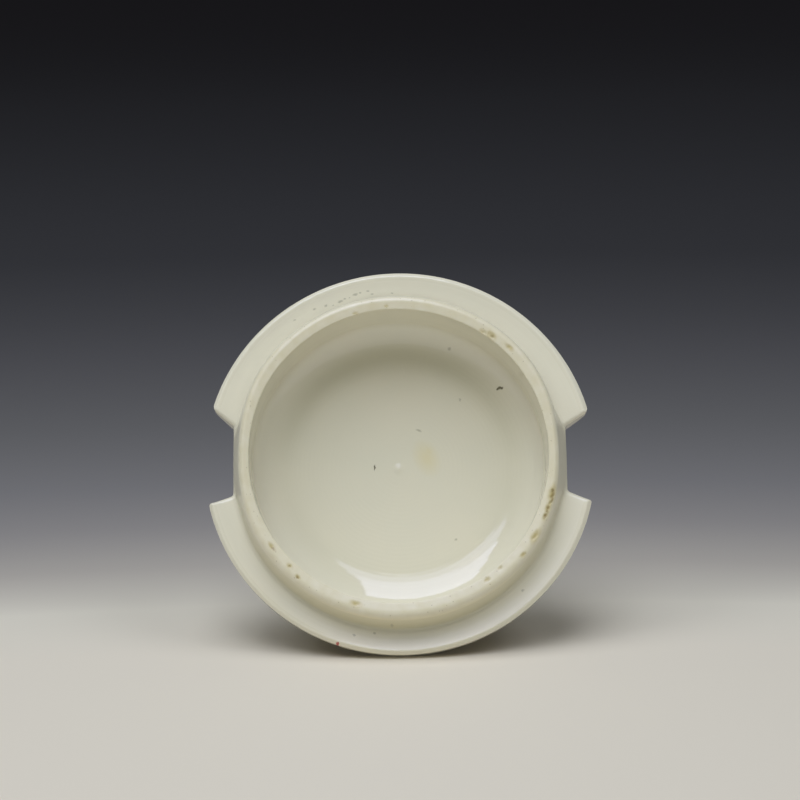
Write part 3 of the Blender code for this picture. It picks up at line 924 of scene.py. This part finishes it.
paint.links.new(finished.outputs[2], shader.inputs["Base Color"])
print("glaze colour: %d nodes" % len(paint.nodes))

# %% Gloss, ripple and turning lines
GLOSS = 0.05
SATIN = 0.3
RIPPLE_SIZE = 8.0
RIPPLE_HEIGHT = 0.035
RING_SPACING = 1.4
RING_HEIGHT = 0.003
sheen = add(paint, "ShaderNodeMapRange", {"Value": kept["satin"], "To Min": GLOSS, "To Max": SATIN})
paint.links.new(sheen.outputs[0], shader.inputs["Roughness"])
ripple = add(paint, "ShaderNodeTexNoise", {"Vector": own, "Scale": 1.0 / RIPPLE_SIZE, "Detail": 1.0})
flat = add(paint, "ShaderNodeVectorMath", {0: own, 1: (1.0, 1.0, 0.0)}, operation="MULTIPLY")
from_axis = add(paint, "ShaderNodeVectorMath", {0: flat}, operation="LENGTH")
rings = add(paint, "ShaderNodeMath",
            {0: from_axis, 1: 2.0 * math.pi / RING_SPACING, 2: mottle}, operation="MULTIPLY_ADD")
ring = add(paint, "ShaderNodeMath", {0: rings}, operation="SINE")
ring_here = add(paint, "ShaderNodeMath", {0: ring, 1: kept["turned"]}, operation="MULTIPLY")
ring_height = add(paint, "ShaderNodeMath", {0: ring_here, 1: RING_HEIGHT}, operation="MULTIPLY")
relief = add(paint, "ShaderNodeMath",
             {0: ripple, 1: RIPPLE_HEIGHT, 2: ring_height}, operation="MULTIPLY_ADD")
bump = add(paint, "ShaderNodeBump", {"Height": relief, "Distance": MM})
paint.links.new(bump.outputs[0], shader.inputs["Normal"])
print("glaze: %d nodes" % len(paint.nodes))

# %% [markdown]
# ## Floor, light and camera
#
# The stage is a pale floor whose colour fades into the dark behind the cover: a painted pool of
# light and a painted falloff, with a faint painted glow far off. A large softbox hangs overhead,
# with a dimmer strip along its front, and its mirror image in the inside corner is what makes the
# piece read as glazed. A low card in front and a card on each side fill the shadows. They are kept
# out of the reflections, so that the one highlight stays clean. The camera stands a little above
# and looks slightly down. From here on sizes are in metres.

# %% The floor
# The eye gets a matt board whose colour paints a pool of light in front and a falloff to grey and
# nearly to black behind the cover.
PAINTED_POOL_FRONT = 0.75
PAINTED_POOL_RADIUS = 0.76
FADE_LENGTH = 0.15
# Each stop of the painted falloff: the fade length over the distance into the dark, and the colour
# there
PAINTED_FALLOFF_COLOURS = (
    (0.0, "#3E3F42"), (0.15, "#3E3E40"), (0.236, "#565556"), (0.323, "#686766"), (0.423, "#7C7A79"),
    (0.51, "#908C88"), (0.622, "#AEA89E"), (0.769, "#DAD4C3"), (1.0, "#DED6C4"),
)
# A faint painted glow on the far floor, which no lamp gives
PAINTED_GLOW_COLOURS = ((0.0, "#121113"), (0.06, "#151517"), (0.2, "#000000"))
BOARD_ROUGHNESS = 0.8
FLOOR_HALF = 12.0

floor_mesh = bpy.data.meshes.new("pale_floor")
corners = [(x * FLOOR_HALF, y * FLOOR_HALF, 0.0) for x, y in ((-1, -1), (1, -1), (1, 1), (-1, 1))]
floor_mesh.from_pydata(corners, [], [(0, 1, 2, 3)])
floor = bpy.data.objects.new("pale_floor", floor_mesh)
bpy.context.scene.collection.objects.link(floor)
board = bpy.data.materials.new("painted_board")
board.use_nodes = True
board_paint = board.node_tree
spot = add(board_paint, "ShaderNodeTexCoord")
from_painted_pool = add(board_paint, "ShaderNodeMapping",
                {"Vector": spot.outputs["Object"], "Location": (0.0, PAINTED_POOL_FRONT, 0.0)})
far = add(board_paint, "ShaderNodeVectorMath", {0: from_painted_pool}, operation="LENGTH")
beyond = add(board_paint, "ShaderNodeMath",
             {0: far, 1: PAINTED_POOL_RADIUS - FADE_LENGTH}, operation="SUBTRACT")
outward = add(board_paint, "ShaderNodeMath", {0: beyond, 1: FADE_LENGTH}, operation="MAXIMUM")
nearness = add(board_paint, "ShaderNodeMath", {0: FADE_LENGTH, 1: outward}, operation="DIVIDE")
board_shader = board_paint.nodes["Principled BSDF"]
board_shader.inputs["Roughness"].default_value = BOARD_ROUGHNESS
for socket, stops in (("Base Color", PAINTED_FALLOFF_COLOURS), ("Emission Color", PAINTED_GLOW_COLOURS)):
    ramp = add(board_paint, "ShaderNodeValToRGB", {0: nearness})
    for share, _ in stops[1:-1]:
        ramp.color_ramp.elements.new(share)
    for stop, (share, text) in zip(ramp.color_ramp.elements, stops):
        stop.position = share
        stop.color = colour(text)
    board_paint.links.new(ramp.outputs["Color"], board_shader.inputs[socket])
# The painted glow on the far floor shines at this strength
board_shader.inputs["Emission Strength"].default_value = 1.0
floor_mesh.materials.append(board)
print("floor: %d stops of colour" % len(PAINTED_FALLOFF_COLOURS))

# %% The room, dark where it is seen or mirrored, and a weak even light otherwise
DARK_COLOUR = "#1A1A1E"
ROOM_LIGHT = 0.02

world = bpy.data.worlds.new("room")
bpy.context.scene.world = world
world.use_nodes = True
air = world.node_tree
sky = air.nodes["Background"]
path = add(air, "ShaderNodeLightPath")
seen = add(air, "ShaderNodeMath",
           {0: path.outputs["Is Camera Ray"], 1: path.outputs["Is Glossy Ray"]}, operation="MAXIMUM")
room = add(air, "ShaderNodeMix",
           {"Factor": seen, 6: (ROOM_LIGHT, ROOM_LIGHT, ROOM_LIGHT, 1.0), 7: colour(DARK_COLOUR)},
           data_type="RGBA")
air.links.new(room.outputs[2], sky.inputs["Color"])
print("room: %d nodes" % len(air.nodes))

# %% The lamps
DAYLIGHT = "#EEF3FF"
OVERHEAD = (0.0, 0.0, math.radians(-3.0))
UPRIGHT = (math.pi / 2, 0.0, 0.0)
LEFT_PLACE = (-1.20, -0.30, 1.50)
RIGHT_PLACE = (1.05, -0.30, 1.50)


def aimed(place):
    """The turn of a lamp that faces the cover's centre from a place."""
    return (Vector(centre) - Vector(place)).to_track_quat("-Z", "Y").to_euler()


def add_lamp(name, size, place, tilt, radiance, mirrored):
    """A rectangular lamp that faces down before it is tilted, set by how bright its face looks."""
    data = bpy.data.lights.new(name, "AREA")
    data.shape = "RECTANGLE"
    data.size, data.size_y = size
    data.energy = radiance * math.pi * size[0] * size[1]
    data.color = colour(DAYLIGHT)[:3]
    lamp = bpy.data.objects.new(name, data)
    bpy.context.scene.collection.objects.link(lamp)
    lamp.location = place
    lamp.rotation_euler = tilt
    lamp.visible_camera = False
    lamp.visible_glossy = mirrored
    print("%s: %.2f watts at %s" % (name, data.energy, [round(v, 2) for v in place]))


# Each lamp: its name, width and length, place, tilt, how bright its face looks, and whether the
# glaze mirrors it
LAMPS = (
    ("softbox", (1.01, 1.16), (-0.235, -0.251, 1.66), OVERHEAD, 4.8, True),
    ("softbox_edge", (1.01, 0.448), (-0.235, -1.056, 1.66), OVERHEAD, 2.7, True),
    ("front_card", (1.80, 0.40), (0.0, -1.80, 0.20), UPRIGHT, 3.7, False),
    ("left_card", (0.80, 0.80), LEFT_PLACE, aimed(LEFT_PLACE), 3.8, False),
    ("right_card", (0.80, 0.80), RIGHT_PLACE, aimed(RIGHT_PLACE), 3.3, False),
)
for settings in LAMPS:
    add_lamp(*settings)

# %% The camera
CAMERA_DISTANCE = 0.650
CAMERA_ELEVATION = math.radians(12.05)
CAMERA_RAISE = 0.0183
CAMERA_LENS = 95.4
SENSOR_WIDTH = 36.0
CAMERA_ROLL = math.radians(-0.9)

lens = bpy.data.cameras.new("camera")
lens.lens = CAMERA_LENS
lens.sensor_width = SENSOR_WIDTH
camera = bpy.data.objects.new("camera", lens)
bpy.context.scene.collection.objects.link(camera)
turn = Matrix.Rotation(math.pi / 2 - CAMERA_ELEVATION, 3, "X") @ Matrix.Rotation(CAMERA_ROLL, 3, "Z")
camera.rotation_euler = turn.to_euler()
camera.location = Vector(centre) + turn @ Vector((0.0, CAMERA_RAISE, CAMERA_DISTANCE))
bpy.context.scene.camera = camera
bpy.context.scene.view_settings.view_transform = "Standard"
print("camera at", [round(v, 3) for v in camera.location])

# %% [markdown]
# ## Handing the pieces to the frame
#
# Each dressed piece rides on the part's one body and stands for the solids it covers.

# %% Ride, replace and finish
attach(cover, "root")
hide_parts("cover", "locating_collar")
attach(knob, "root")
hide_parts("knob")
